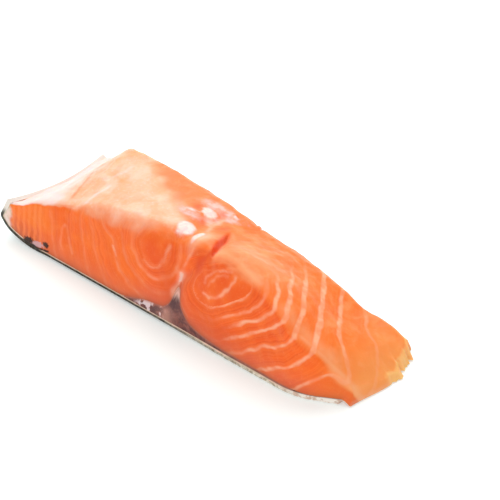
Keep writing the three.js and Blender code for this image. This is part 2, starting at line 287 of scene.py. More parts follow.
def dorsal_hollow(x, t):
    """How far the dorsal edge is hollowed inwards at t across the width."""
    hollow = np.sin(np.pi * np.maximum(t, 0) ** 0.8)
    return DORSAL_HOLLOW * hollow * (1 - ramp(TIP_X - 3, DORSAL_REACH, x))


def lobe_share(lobe, x, z):
    """How far a lobe is swollen at a point, from 0 to 1."""
    return bump(lobe["x"], lobe["spread_x"], x) * bump(lobe["z"], lobe["spread_z"], z)


def place(x, across, z):
    """Puts a point in place: x and z in the long section, and the distance across."""
    front = front_foot(x)
    t = across / (back_foot(x) - front)
    shifted = x + crease_shift(x, z)
    crease_x = CREASE_FOOT_X + CREASE_SHIFT * ramp(CREASE_FOOT_Z, CREASE_TOP_Z, z)
    crease = bump(crease_x, CREASE_WIDTH, shifted) * ramp(8, 19, z) * (1 - 0.8 * ramp(19, 27, z))
    dorsal = lobe_share(DORSAL_LOBE, shifted, z)
    belly = lobe_share(BELLY_LOBE, shifted, z)
    front_relief = CREASE_DEPTH * crease - DORSAL_LOBE["front"] * dorsal - BELLY_LOBE["front"] * belly
    back_relief = 0.6 * CREASE_DEPTH * crease - DORSAL_LOBE["back"] * dorsal - BELLY_LOBE["back"] * belly
    y = (front + across
         + (front_lean(x) * z + front_relief) * (1 - t) ** 3
         - (back_lean(x) * z + back_relief) * t ** 3)
    return np.stack([shifted + dorsal_hollow(x, t) + belly_bow(x, t), y, z], -1)


def gape_line(y):
    """x of the gape at y."""
    return GAPE_X - GAPE_SLANT * (y - GAPE_Y)


def gape_share(y):
    """How far the gape is open at y, from 0 to 1."""
    return (0.2 + 0.8 * ramp(*GAPE_OPENING, y)) * (1 - ramp(*GAPE_CLOSING, y))


def pocket_fields(x, y):
    """Height of the fat pockets, and how white they are at a point."""
    height = 0
    white = 0
    for rise, whiteness, *oval in FAT_POCKETS:
        along, beside = in_oval(x, y, *oval)
        inside = np.maximum(1 - along ** 2 - beside ** 2, -2)
        height = height + rise * np.sqrt(np.maximum(inside, 0))
        white = np.maximum(white, whiteness * np.exp(inside - 1))
    return height, white


def top_relief(x, y):
    """Height change of the upper face."""
    beyond = x - gape_line(y)
    wall = np.where(beyond < 0, GAPE_STEEP_SIDE, GAPE_GENTLE_SIDE)
    height = -GAPE_DEPTH * gape_share(y) * bump(0, wall, beyond)
    for rise, middle_x, spread_x, middle_y, spread_y, slant, bow, straight_y in SWELLINGS:
        line_x = middle_x - slant * (y - straight_y) - bow * (y - straight_y) ** 2
        height = height + rise * bump(line_x, spread_x, x) * bump(middle_y, spread_y, y)
    return height + pocket_fields(x, y)[0]


def flesh_point(x0, v, w):
    """Flesh: x0 runs along the underside, v from front to back, w from the skin up."""
    dorsal_end = 1 - ramp(TIP_X, TIP_X + 14, x0)
    belly_end = ramp(BELLY_X - 12, BELLY_X, x0)
    lift = dark_muscle(x0)
    floor = underside(x0) + (lift + SCENE_GAP) * ramp(0, 0.5, lift)
    # The upper face lies above a point that the end slopes, the crease and the belly's bow move.
    end_shift = (DORSAL_TOP_X - TIP_X) * dorsal_end - BELLY_UNDERCUT * belly_end + belly_bow(x0, v)
    top_x = x0 + end_shift + crease_shift(x0, CREASE_TOP_Z)
    front = front_foot(x0)
    width = back_foot(x0) - front
    blend = ramp(0.04, 0.96, v)
    top = top_at_front(top_x) * (1 - blend) + top_at_back(top_x) * blend + crown(top_x) * 4 * v * (1 - v)
    top_y = front + v * width + front_lean(x0) * top * (1 - v) ** 3 - back_lean(x0) * top * v ** 3
    top = top + top_relief(top_x, top_y)
    # Round the upper edges: points in each corner square move onto the edge's arc.
    radius_limit = 0.7 * (top - floor)
    front_radius = np.minimum(front_edge(top_x), radius_limit)
    back_radius = np.minimum(back_edge(top_x), radius_limit)
    radius = np.where(v < 0.5, front_radius, back_radius)
    across = v * width
    z = floor + (top - floor) * w
    centre_across = np.clip(across, front_radius, width - back_radius)
    centre_z = np.minimum(z, top - radius)
    da = across - centre_across
    dz = z - centre_z
    corner = (dz > 0) & (da != 0)
    reach = np.where(corner, np.hypot(da, dz), 1)
    pull = np.maximum(np.abs(da), np.abs(dz)) / reach
    across = np.where(corner, centre_across + da * pull, across)
    z = np.where(corner, centre_z + dz * pull, z)
    slope = (DORSAL_TOP_X - TIP_X) / (DORSAL_TOP_Z - TIP_Z)
    x = x0 + slope * (z - floor) * dorsal_end - BELLY_UNDERCUT * w * belly_end
    return place(x, across, z)


def dark_point(x0, v, w):
    """Dark muscle: a wedge between skin and flesh that runs through the width."""
    width = back_foot(x0) - front_foot(x0)
    return place(x0, v * width, FLESH_FLOOR + dark_muscle(x0) * w)


def skin_point(rib, v, w):
    """Skin: a rib holds a point of the flesh's outer line, the way out and the share up the edge."""
    rib_x, rib_z, angle, edge_share = rib.T
    out = SCENE_GAP + (SKIN_THICKNESS + LAYER_GAP - SCENE_GAP) * (1 - w)
    lowered = edge_share * DORSAL_BACK_DROP * ramp(0, 1, v)
    x = rib_x + np.cos(angle) * out - lowered * (DORSAL_TOP_X - TIP_X)
    z = rib_z + np.sin(angle) * out - lowered * (DORSAL_TOP_Z - TIP_Z)
    across = v * (back_foot(x) - front_foot(x))
    lifted = SKIN_FRONT_LIFT * ramp(8, 20, x) * (1 - 0.7 * ramp(70, 110, x)) * (1 - ramp(0, 5, across))
    return place(x, across, z + lifted * (1 - w))


def skin_ribs(underside_stations):
    """Ribs of the skin: down the dorsal edge, round the tip and along the underside."""
    edge_rise = DORSAL_TOP_Z - TIP_Z
    edge_run = DORSAL_TOP_X - TIP_X
    edge_angle = math.pi - math.atan2(edge_run, edge_rise)

    def out_angle(x):
        return 1.5 * math.pi + np.arctan2(underside(x + 0.3) - underside(x - 0.3), 0.6)

    tip_angle = out_angle(TIP_X + 0.3)
    ribs = [(TIP_X + edge_run * t, TIP_Z + edge_rise * t, edge_angle, t) for t in np.linspace(0.98, 0, 12)]
    ribs += [(TIP_X, TIP_Z, edge_angle + (tip_angle - edge_angle) * t, 0) for t in np.linspace(0.1, 0.9, 8)]
    ribs.append((TIP_X, TIP_Z, tip_angle, 0))
    ribs += [(x, underside(x), out_angle(x), 0) for x in underside_stations[1:]]
    return np.array(ribs, float)


# ---------------- block meshes

SHARP_ANGLE = math.radians(48)


def stations(a, b, spacing):
    """Stations from a to b, each step about spacing(at) long."""
    places = [a]
    while places[-1] < b:
        places.append(places[-1] + spacing(places[-1]))
    places = np.array(places)
    return a + (places - a) * (b - a) / (places[-1] - a)


def eased(count):
    """Stations from 0 to 1 that lie closer together at both ends."""
    t = np.linspace(0, 1, count + 1)
    return 0.6 * t + 0.4 * (0.5 - 0.5 * np.cos(np.pi * t))


def block(along, across, up):
    """Lattice of a block's surface: the three index lists of its points, and its quads."""
    ni, nj, nk = along - 1, across - 1, up - 1
    i, j, k = np.meshgrid(range(along), range(across), range(up), indexing="ij")
    on_surface = (i == 0) | (i == ni) | (j == 0) | (j == nj) | (k == 0) | (k == nk)
    number = np.full(on_surface.shape, -1)
    number[on_surface] = np.arange(on_surface.sum())

    def quads(sheet, flip):
        a, b, c, d = sheet[:-1, :-1], sheet[1:, :-1], sheet[1:, 1:], sheet[:-1, 1:]
        order = (a, d, c, b) if flip else (a, b, c, d)
        return np.stack([s.ravel() for s in order], -1)

    sides = [
        quads(number[:, :, 0], True), quads(number[:, :, nk], False),
        quads(number[:, 0, :], False), quads(number[:, nj, :], True),
        quads(number[0, :, :], True), quads(number[ni, :, :], False),
    ]
    return i[on_surface], j[on_surface], k[on_surface], np.concatenate(sides)


def to_part(points):
    """Plan millimetres to metres in the part's frame."""
    return (points + PLAN_SHIFT) * MM


def mesh_object(name, points, quads):
    """A smooth-shaded mesh object from plan points."""
    mesh = bpy.data.meshes.new(name)
    mesh.vertices.add(len(points))
    mesh.vertices.foreach_set("co", to_part(points).astype(np.float32).ravel())
    mesh.loops.add(quads.size)
    mesh.loops.foreach_set("vertex_index", quads.astype(np.int32).ravel())
    mesh.polygons.add(len(quads))
    mesh.polygons.foreach_set("loop_start", np.arange(0, quads.size, 4, dtype=np.int32))
    mesh.update(calc_edges=True)
    mesh.polygons.foreach_set("use_smooth", np.ones(len(quads), dtype=bool))
    mesh.set_sharp_from_angle(angle=SHARP_ANGLE)
    mesh.update()
    piece = bpy.data.objects.new(name, mesh)
    bpy.context.scene.collection.objects.link(piece)
    return piece


def normals_of(points, quads):
    """Unit vertex normals of a quad mesh."""
    a, b, c, d = (points[quads[:, n]] for n in range(4))
    face = np.cross(c - a, d - b)
    total = np.zeros_like(points)
    for n in range(4):
        np.add.at(total, quads[:, n], face)
    return total / np.maximum(np.linalg.norm(total, axis=1, keepdims=True), 1e-12)


# ---------------- muscle layers

# The fat lines are cuts through nested cones of muscle: rings round a middle (x, z) at RING_Y,
# which sink and shrink further inwards. Each line: its distance at RING_Y and its clearness.
RING_Y = 4
BELLY_MIDDLE = (100.9, 25.9)
BELLY_TILT = math.radians(31)
BELLY_SINKING = 0.15
BELLY_SHRINKING = 0.547
BELLY_SLOWING = 0.001
BELLY_LENGTH = 5.8  # half length of the inner rings' straight sides
BELLY_STRETCH = 0.4  # what they gain for each millimetre beyond BELLY_ROUND
BELLY_ROUND = 8.8
BELLY_DRAWN = 9.3  # how far the lines are drawn out at the belly end
BELLY_LINES = (
    (5.4, 0.8), (9.4, 0.7), (12.4, 1), (16.2, 1), (21.3, 0.9), (27.7, 1), (35.1, 0.8), (43.7, 0.4),
    *((distance, 0.4) for distance in range(52, 93, 8)),
)
DORSAL_MIDDLE = (70.8, 26.2)
DORSAL_SINKING = 0.1
DORSAL_SHRINKING = 0.12
DORSAL_FLATNESS = 0.92
DORSAL_DRAWN = 8.6  # how far they are drawn out on the dorsal side
DORSAL_LINES = (
    (5.8, 0.25), (10.6, 0.9), (14.8, 0.5), (20.1, 0.6), (30.4, 0.4), (36.5, 0.5), (44, 0), (52.2, 0.5),
    *((distance, 0) for distance in range(60, 93, 8)),
)

# Belly lines on the front cut: distance, x where they begin, clearness before that.
LINE_BEGINNINGS = (
    (5.4, 80, 0.1), (9.4, 105, 0.2), (12.4, 109, 0.02), (16.2, 107, 0.2), (21.3, 99, 0.1),
    (27.7, 107, 0.05), (35.1, 117, 0.05), (43.7, 125, 0.05),
)


def belly_reach(x, y, z):
    """Distance from the middle of the belly muscle: the same all along one fat line."""
    inwards = y - RING_Y
    dx = x - BELLY_MIDDLE[0]
    dz = z - BELLY_MIDDLE[1] + BELLY_SINKING * inwards
    along = dx * math.cos(BELLY_TILT) + dz * math.sin(BELLY_TILT)
    beside = dx * math.sin(BELLY_TILT) - dz * math.cos(BELLY_TILT)
    straight = BELLY_LENGTH + BELLY_STRETCH * np.maximum(np.hypot(along, beside) - BELLY_ROUND, 0)
    reach = np.hypot(np.maximum(np.abs(along) - straight, 0), beside)
    shrunk = BELLY_SHRINKING * inwards - BELLY_SLOWING * inwards ** 2
    drawn = BELLY_DRAWN * ramp(135.5, 150, x) * ramp(4, 10, y) * (1 - 0.25 * ramp(16, 24, y))
    return reach + shrunk - drawn + 0.3 * waves(x, y, z, 13, seed=3) + 0.1 * waves(x, y, z, 5, seed=4)


def dorsal_reach(x, y, z):
    """Distance from the middle of the dorsal muscle."""
    inwards = y - RING_Y
    dx = x - DORSAL_MIDDLE[0]
    dz = z - DORSAL_MIDDLE[1] + DORSAL_SINKING * inwards
    reach = np.hypot(dx, DORSAL_FLATNESS * dz)
    drawn = DORSAL_DRAWN * ramp(-8, 2, dz) * ramp(-6, -12, dx) * bump(24.4, 6.8, reach)
    uneven = 0.4 * waves(x, y, z, 15, seed=5)
    return reach - drawn + DORSAL_SHRINKING * inwards + uneven + 0.12 * waves(x, y, z, 5, seed=6)


def line_number(lines, reach):
    """Number that is whole on each fat line."""
    return np.interp(reach, [line[0] for line in lines], range(len(lines)), left=-0.5)


def line_strength(lines, reach):
    """How clearly the line at this distance shows."""
    return np.interp(reach, [line[0] for line in lines], [line[1] for line in lines])


def belly_rings(x, y, z):
    """Ring number in the belly muscle: whole on its fat lines."""
    return line_number(BELLY_LINES, belly_reach(x, y, z))


def dorsal_rings(x, y, z):
    """Ring number in the dorsal muscle."""
    return line_number(DORSAL_LINES, dorsal_reach(x, y, z))


def density(rings, points, normals):
    """How many rings pass per millimetre along the surface."""
    x, y, z = points.T
    h = 0.25
    gradient = np.stack([
        rings(x + h, y, z) - rings(x - h, y, z),
        rings(x, y + h, z) - rings(x, y - h, z),
        rings(x, y, z + h) - rings(x, y, z - h),
    ], -1) / (2 * h)
    gradient -= (gradient * normals).sum(1, keepdims=True) * normals
    return np.clip(np.linalg.norm(gradient, axis=1), 0.03, 1.5)


def below(middle, degrees, x, z):
    """1 on the side of a middle at this angle below +x, 0 on its other side."""
    turn = np.arctan2(z - middle[1], x - middle[0])
    return 0.5 + 0.5 * np.cos(turn + math.radians(degrees))


def belly_strength(x, y, z, top):
    """How clearly the belly muscle's fat lines show."""
    reach = belly_reach(x, y, z)
    reaches, starts, before = zip(*LINE_BEGINNINGS)
    begin = np.interp(reach, reaches, starts)
    faint = np.interp(reach, reaches, before)
    begun = faint + (1 - faint) * ramp(begin - 6, begin + 2, x)
    begun = begun * (1 - 0.8 * ramp(0, 5, z - BELLY_MIDDLE[1]) * (1 - ramp(10, 13, reach)))
    behind = ramp(25, 35, y)
    on_cut = (0.12 + 0.88 * below(BELLY_MIDDLE, 45, x, z) ** 2) * begun * (1 - behind) + 0.6 * behind
    on_top = ramp(110, 120, x + 0.12 * (y - 5)) * (1 - 0.4 * ramp(134, 146, x - 0.12 * (y - 15)))
    return line_strength(BELLY_LINES, reach) * ((1 - top) * on_cut + top * (0.05 + 0.95 * on_top))


def dorsal_strength(x, y, z, top):
    """How clearly the dorsal muscle's fat lines show."""
    near_middle = 1 - ramp(12, 16, np.hypot(x - DORSAL_MIDDLE[0], z - DORSAL_MIDDLE[1]))
    on_cut = 0.6 * (1 - near_middle) + near_middle * (0.15 + 0.85 * below(DORSAL_MIDDLE, 50, x, z) ** 1.5)
    return line_strength(DORSAL_LINES, dorsal_reach(x, y, z)) * (0.58 * (1 - top) * on_cut + 0.06 * top)


def line_width(x, y, z, top, belly):
    """Half width of the fat lines."""
    reach = belly_reach(x, y, z)
    broad = bump(27.7, 5, reach) + 0.4 * bump(20, 5, reach)
    return 0.02 + top * belly * ramp(108, 122, x) * (0.2 + 0.42 * broad)


# ---------------- colour fields of the flesh

# Edges of the upper face (x to y), and the border between the muscles (z to x, y to x).
dorsal_arris = curve([(-9, 0), (0, 1), (16, 3.3), (30, 4.4), (50, 5.9), (60, 6.5), (70, 8.6), (80, 10.5)])
belly_arris = curve([
    (129, 4.2), (134, 4.8), (137, 5.6), (142.8, 7.9), (147.6, 10.2), (150.6, 12.1), (154, 13.5),
])
muscle_border_cut = curve([(13, 80.5), (18, 82), (25, 84.1), (32, 85.8)])
muscle_border_top = curve([(5, 85.8), (10, 84.6), (17, 82), (30, 78.5), (45, 79.5)])

# Fat lines of the front cut that aren't rings: clearness, width, points.
FRONT_LINES = (
    (0.8, 0.5, (  # underside of the belly muscle's eye
        (93.2, 19.8), (95.7, 19.2), (99.4, 20.8), (101.6, 22.6), (103.5, 26), (104.8, 28.5),
        (104.6, 29.8),
    )),
    (0.65, 0.45, ((93.3, 23.2), (93.6, 24.6), (95.8, 27.4), (99.2, 29.5), (102.9, 30.6))),  # upper side
    (0.45, 0.4, ((95.3, 22.8), (95.8, 24.4), (97.8, 26.6), (100, 28.2), (101.8, 28.6))),  # inside it
    (0.3, 0.6, (  # tall loop in the dorsal muscle
        (26.3, 7), (25.4, 9), (25.2, 11.5), (25.7, 14.2), (26.7, 15.9), (27.8, 15.6), (28.8, 13.6),
        (29.9, 11), (31.5, 6.9),
    )),
    (0.9, 0.5, ((51, 18.4), (53, 15.4))),  # bright dash
    (0.6, 0.5, ((86, 31), (85.4, 29), (84.1, 25), (83.2, 22.5))),  # seam over the crease
    (0.6, 0.5, ((66.5, 20.2), (69.2, 18.6), (73, 19.6), (75.6, 25), (76.4, 28.6))),  # dorsal eye
)

STAIN_SPOTS = ((1, 8.2, 2.9, 3.2, 1.5, 20), (1, 17.5, 4.6, 1.6, 1.3, 0))
STAIN_THREADS = ((0.8, 0.6, ((7, 1.9), (14, 1.7), (19, 2.6))),)

# On the upper face: lumps, painted highlight streaks and slits in the membrane, painted peach highlights, a
# fold's painted shade.
LUMPS = (
    (1, 24.8, 40, 3.5, 3, 0), (0.7, 41, 34.5, 3.5, 2, -30), (0.8, 36.4, 22.3, 1.8, 1.5, 0),
    (0.5, 50, 27, 5, 2, -40), (0.6, 24, 31, 3, 5, 30),
)
# Painted highlight streaks on the membrane; the second runs along the low ridge.
HIGHLIGHT_STREAK = ((34.3, 7.6), (33.7, 12.7), (34.8, 16.5), (34.5, 18.4))
RIDGE_HIGHLIGHT = ((30.7, 21.6), (31.8, 24.6), (33.1, 27.5), (33, 31))
LONG_SLIT = ((25.3, 8.7), (22.6, 14.9), (21.4, 19.7), (18.2, 25))
SHORT_SLIT = ((17.1, 27.8), (18.5, 29.8))
# Painted peach highlights: on the belly muscle's top, on the flap, and along the upper edges.
PEACH_HIGHLIGHT_SPOTS = ((0.5, 104, 17, 11, 8, 0), (0.9, 86, 11.5, 2.8, 6, 0))
PEACH_HIGHLIGHT_THREADS = (
    (0.8, 2.8, ((94, 8.5), (98.2, 6.6), (104, 6.8), (111, 7.4))),
    (0.72, 1, ((131, 5.6), (136.6, 6.8), (142.8, 9.1), (147.6, 11.2), (150, 12.9))),
    (0.5, 2.5, ((124, 7), (132, 7.5), (140, 9))),
)
# Painted shade along the fold below the gape's front end.
GAPE_FOLD_SHADE = ((93.4, 8.5), (91.4, 6.2), (88.8, 5.3))

# Fat in the crease, and the soft fat, veins, rosy veil and chinks of muscle beside the pockets.
CREASE_STREAK = ((80.5, 12.5), (81.1, 15.5), (81.9, 18.4), (82.7, 21.2))
CREASE_SLIT = ((81.3, 14.8), (81.9, 17.2))
SOFT_TONGUE = (84.6, 11, 1.8, 4.4)
FRONT_VEIN = ((75.2, 25.4), (80, 20.6), (82.5, 17))
BACK_VEIN = ((80, 20.6), (78.3, 29))
ROSY_VEIL = (
    (0.7, 70, 21.5, 6, 3, -10), (0.7, 73, 33, 7, 3.6, 6), (0.55, 79.5, 32, 3.5, 4, 0),
    (0.5, 77, 25, 4, 5, 0), (0.25, 83, 36, 4, 3, 0),
)
CHINKS = (
    (0.9, 69.1, 26.6, 2.2, 1.5, -45), (0.9, 76.6, 20.6, 2.8, 1.2, -48), (0.7, 76, 31.6, 2.2, 1, -48),
    (0.8, 83, 24, 1.4, 3, 0),
)

TIP_STRIPE_SPACING = 2.9


def blood_stains(x, z):
    """Dark stains on the cut face close to the skin, near the dorsal tip."""
    return np.maximum(spots(x, z, STAIN_SPOTS), threads(x, z, STAIN_THREADS))


def front_lines(x, z):
    """Fat lines that aren't rings, slightly uneven."""
    shift = 0.22 * waves(x, 0 * x, z, 4, seed=31)
    return threads(x + shift, z - shift, FRONT_LINES)


def membrane_fields(x, y, top, facing_up):
    """The pale membrane of the upper face and what shows in it, with painted highlights and a fold's
    painted shade.
    """
    diagonal = 0.5 * (x - 44 + 1.75 * (np.minimum(y, 37) - 35)) + 1.2 * waves(x, y, 0 * x, 8, seed=35)
    dorsal = (1 - 0.82 * ramp(-8, 3, diagonal)) * (1 - 0.8 * ramp(70, 84, x + 0.1 * y))
    soft = ramp(24, 44, x)
    beyond = y - dorsal_arris(x) + (0.4 + 0.2 * soft) * waves(x, y, 0 * x, 7, seed=34)
    border = np.clip((beyond + 1.2 + 3.4 * soft) / (1.5 + 7.5 * soft), 0, 1)
    softly = top + (ramp(0, 0.5, facing_up) - top) * soft
    # The near-white at the dorsal end and the two streaks are pale membrane with a painted highlight on it.
    streaks = 0.6 * thread(x, y, HIGHLIGHT_STREAK, 1.3) + 0.45 * thread(x, y, RIDGE_HIGHLIGHT, 1.5)
    white = 0.9 * (1 - ramp(8, 34, x + 0.1 * y)) + streaks + 0.6 * spot(x, y, 18, 6.5, 4, 2.5)
    slits = 0.8 * thread(x, y, LONG_SLIT, 0.7) + 0.5 * thread(x, y, SHORT_SLIT, 0.7)
    peach_highlight = np.maximum(spots(x, y, PEACH_HIGHLIGHT_SPOTS), threads(x, y, PEACH_HIGHLIGHT_THREADS))
    return {
        "pale": border * softly * dorsal,
        "white": border * top * np.clip(white, 0, 1),
        "lump": softly * spots(x, y, LUMPS),
        "slit": top * np.clip(slits, 0, 1),
        "peach_highlight": top * np.clip(peach_highlight, 0, 1),
        "fold_shade": 0.85 * thread(x, y, GAPE_FOLD_SHADE, 1),
    }


def fat_fields(x, y, z, facing_up):
    """Fat pockets with their veins, and the fat in the crease."""
    shift = 0.5 * waves(x, y, z, 4, seed=32)
    soft = np.max([
        0.75 * spot(x, y, *SOFT_TONGUE),
        0.6 * thread(x + shift, y, FRONT_VEIN, 0.7),
        0.6 * thread(x, y + shift, BACK_VEIN, 0.7),
    ], axis=0)
    upper = ramp(0.15, 0.45, facing_up)
    front = (1 - upper) * (y < 20)
    slit = thread(x + shift, z, CREASE_SLIT, 0.3)
    in_crease = np.clip(thread(x + shift, z, CREASE_STREAK, 1.15) - slit, 0, 1) * front
    return {
        "fat": np.maximum(pocket_fields(x, y)[1] * upper, 0.5 * in_crease),
        "soft_fat": np.maximum(soft * upper, 0.7 * in_crease),
        "rosy": spots(x, y, ROSY_VEIL) * upper,
        "chink": spots(x, y, CHINKS) * upper + slit * front,
    }


def gape_fields(x, y, z):
    """Painted shade in the gape and the pale lip beside it."""
    beyond = x - gape_line(y)
    return {
        "painted_gape_shade": np.clip(bump(-0.4, 1.1, beyond) * gape_share(y) * ramp(24, 27, z), 0, 1),
        "lip": np.clip(bump(1.2, 0.9, beyond) * gape_share(y) * ramp(26, 29, z), 0, 1),
    }


def cut_fields(x, y, z, rise, cut):
    """Tones of the cut faces; rise is the height above the flesh's underside."""
    front = cut * (y < 20)
    near_skin = np.exp(-np.maximum(rise, 0) / (1.4 + 0.8 * bump(100, 16, x)))
    sunny = np.max([
        (1 - ramp(14, 30, x)) * ramp(5, 13, z), 0.4 * (1 - ramp(58, 74, x)), 0.8 * ramp(133, 142, x),
    ], axis=0)
    return {
        "drawn_line": (y < 9) * front_lines(x, z),
        "shade": front * spots(x, z, ((0.9, 78, 15, 5, 9, 0), (0.7, 101, 9, 12, 5, 0))),
        "sunny": front * sunny,
        "low": (1 - ramp(0.5, 10, rise)) * (1 + 0.2 * (1 - ramp(70, 86, x))),
        "brown": np.clip(cut * near_skin * (1 - 0.4 * ramp(84, 110, x)), 0, 1),
    }


def tip_fields(x, y, z, cut):
    """Stripes with painted shade low on the tip, fatty tissue and stains by the dorsal tip."""
    front = cut * (y < 20)
    tip_edge = x + 0.9 * waves(x, y, z, 4, seed=33) + 0.02 * (z - 10) ** 2
    return {
        "tip_low_shade": (1 - ramp(4, 11, z)) * (1 - ramp(10, 22, x)),
        "tip_fat": 1 - ramp(-2.8, 0.3, tip_edge),
        "stain": front * blood_stains(x, z),
        "lilac": front * spot(x, z, 12.8, 3, 4.2, 1.3, 12),
        "stripe": x * 2 * math.pi / TIP_STRIPE_SPACING - 0.5,
        "striped": (1 - ramp(12, 21, x)) * cut,
    }


def end_fields(x, y, z, top, from_end):
    """The thin belly end with a painted glow of light through it, its pale lower margin, and its torn
    fringe with a painted glow.
    """
    return {
        "thin": ramp(134, 152, x) * top,
        "margin": (1 - ramp(0, 0.8, from_end)) * (1 - ramp(0.5, 1.8, z)) * (1 - ramp(24, 28, y)),
        "frayed_glow": (1 - ramp(0, 2.4, from_end)) * ramp(20, 27, y),
    }


# ---------------- material nodes

def srgb(red, green, blue):
    """Colour from 0-255 screen values to Blender's linear values."""
    def linear(value):
        value = value / 255
        return value / 12.92 if value <= 0.04045 else ((value + 0.055) / 1.055) ** 2.4
    return (linear(red), linear(green), linear(blue), 1)


class Nodes:
    """Short calls for building one material's node tree."""

    def __init__(self, name):
        self.material = bpy.data.materials.new(name)
        self.material.use_nodes = True
        self.tree = self.material.node_tree
        self.tree.nodes.clear()
        self.shader = self.add("BsdfPrincipled")
        self.feed(self.add("OutputMaterial").inputs["Surface"], self.shader.outputs[0])
        self.place = self.add("TexCoord").outputs["Object"]

    def add(self, kind):
        """A new shader node of this kind."""
        return self.tree.nodes.new("ShaderNode" + kind)

    def feed(self, socket, value):
        """Links a socket's value, where text stands for a vertex field, or sets it."""
        if isinstance(value, str):
            value = self.field(value)
        if isinstance(value, bpy.types.NodeSocket):
            self.tree.links.new(value, socket)
        else:
            socket.default_value = value

    def feed_all(self, node, **sockets):
        """Links or sets a node's sockets by name."""
        for name, value in sockets.items():
            self.feed(node.inputs[name.replace("_", " ")], value)

    def field(self, name):
        """The vertex field of this name."""
        node = self.add("Attribute")
        node.attribute_name = name
        return node.outputs["Fac"]

    def math(self, operation, a, b=0.0, clamp=False):
        node = self.add("Math")
        node.operation = operation
        node.use_clamp = clamp
        self.feed(node.inputs[0], a)
        self.feed(node.inputs[1], b)
        return node.outputs[0]

    def times(self, a, b):
        return self.math("MULTIPLY", a, b)

    def plus(self, a, b):
        return self.math("ADD", a, b)

    def minus(self, a, b):
        return self.math("SUBTRACT", a, b)

    def greater(self, a, b):
        return self.math("MAXIMUM", a, b)

    def between(self, low, high, share):
        """Value that is low where share is 0 and high where it is 1."""
        return self.plus(self.times(share, high - low), low)

    def step(self, low, high, value):
        """Smooth step of value: 0 at low, 1 at high; high may be the lower one."""
        node = self.add("MapRange")
        node.interpolation_type = "SMOOTHSTEP"
        self.feed_all(node, Value=value, From_Min=min(low, high), From_Max=max(low, high))
        self.feed_all(node, To_Min=float(high < low), To_Max=float(high >= low))
        return node.outputs["Result"]

    def mix(self, factor, a, b):
        """a where factor is 0, b where it is 1. Tuples are colours in 0-255 screen values."""
        node = self.add("Mix")
        node.data_type = "RGBA"
        for number, value in ((0, factor), (6, a), (7, b)):
            self.feed(node.inputs[number], srgb(*value) if isinstance(value, tuple) else value)
        return node.outputs[2]

    def tinted(self, colour, *tints):
        """Lays tints over a colour in turn. Each: where, how strongly, and its colour."""
        for where, strength, tint in tints:
            share = where if strength == 1 else self.times(where, strength)
            colour = self.mix(share, colour, tint)
        return colour

    def textured(self, kind, size_mm, stretch):
        """A texture node with features of about size_mm."""
        mapping = self.add("Mapping")
        self.feed_all(mapping, Vector=self.place, Scale=stretch)
        node = self.add(kind)
        self.feed_all(node, Vector=mapping.outputs[0], Scale=1 / (size_mm * MM))
        return node

    def noise(self, size_mm, detail=3, roughness=0.55, distortion=0.0, stretch=(1, 1, 1)):
        """Noise around 0.5."""
        node = self.textured("TexNoise", size_mm, stretch)
        self.feed_all(node, Detail=detail, Roughness=roughness, Distortion=distortion)
        return node.outputs["Fac"]

    def uneven(self, amount, *noise):
        """Noise around 0, scaled to an amount."""
        return self.times(self.minus(self.noise(*noise), 0.5), amount)

    def cells(self, size_mm, stretch=(1, 1, 1), feature="F1", randomness=1.0):
        """Distance in a pattern of cells."""
        node = self.textured("TexVoronoi", size_mm, stretch)
        node.feature = feature
        self.feed_all(node, Randomness=randomness)
        return node.outputs["Distance"]

    def bands(self, number, frequency):
        """Noise along one number, so that all points with that number are alike."""
        node = self.add("TexNoise")
        node.noise_dimensions = "1D"
        self.feed_all(node, W=number, Scale=frequency, Detail=2)
        return node.outputs["Fac"]

    def random(self, number):
        """A random value for each whole number."""
        node = self.add("TexWhiteNoise")
        node.noise_dimensions = "1D"
        self.feed_all(node, W=number)
        return node.outputs["Value"]

    def bump(self, height, depth_mm, normal=None):
        """Normal of a height pattern, on top of an earlier one if given."""
        node = self.add("Bump")
        self.feed_all(node, Strength=1, Distance=depth_mm * MM, Height=height)
        if normal is not None:
            self.feed_all(node, Normal=normal)
        return node.outputs[0]

    def finish(self, **sockets):
        """Links or sets the shader's sockets and gives back the material."""
        self.feed_all(self.shader, **sockets)
        return self.material


# ---------------- materials

def muscle_colour(nodes, ring):
    """Raw muscle: blotches, a tone and fine bands for each layer, and grain."""
    blotches = nodes.step(0.35, 0.65, nodes.noise(20, 2))
    mottle = nodes.times(nodes.step(0.45, 0.72, nodes.noise(5, 3, 0.6, 0.4, (1, 0.7, 1))), "top")
    return nodes.tinted(
        nodes.mix(blotches, (236, 84, 14), (244, 100, 22)),
        (nodes.random(nodes.math("FLOOR", ring)), 0.3, (234, 84, 16)),
        (nodes.step(0.35, 0.65, nodes.bands(ring, 2.3)), 0.55, (222, 70, 8)),
        (nodes.step(0.3, 0.7, nodes.bands(ring, 9)), 0.32, (254, 128, 54)),
        (nodes.step(0.45, 0.75, nodes.noise(5, 3)), 0.4, (252, 124, 46)),
        ("low", 0.6, (226, 108, 76)),
        # Upper face: lighter orange, partly its moist film and partly painted sheen from the light above.
        ("top", 0.6, (250, 130, 50)),
        ("sunny", 0.7, (250, 124, 36)),
        # Thin belly end: painted yellow glow of light shining through the thin flesh.
        ("thin", 0.7, (255, 168, 92)),
        (mottle, 0.35, (255, 168, 108)),
        (nodes.step(0.5, 0.8, nodes.noise(0.8, 4, 0.6)), 0.2, (255, 160, 104)),
    )


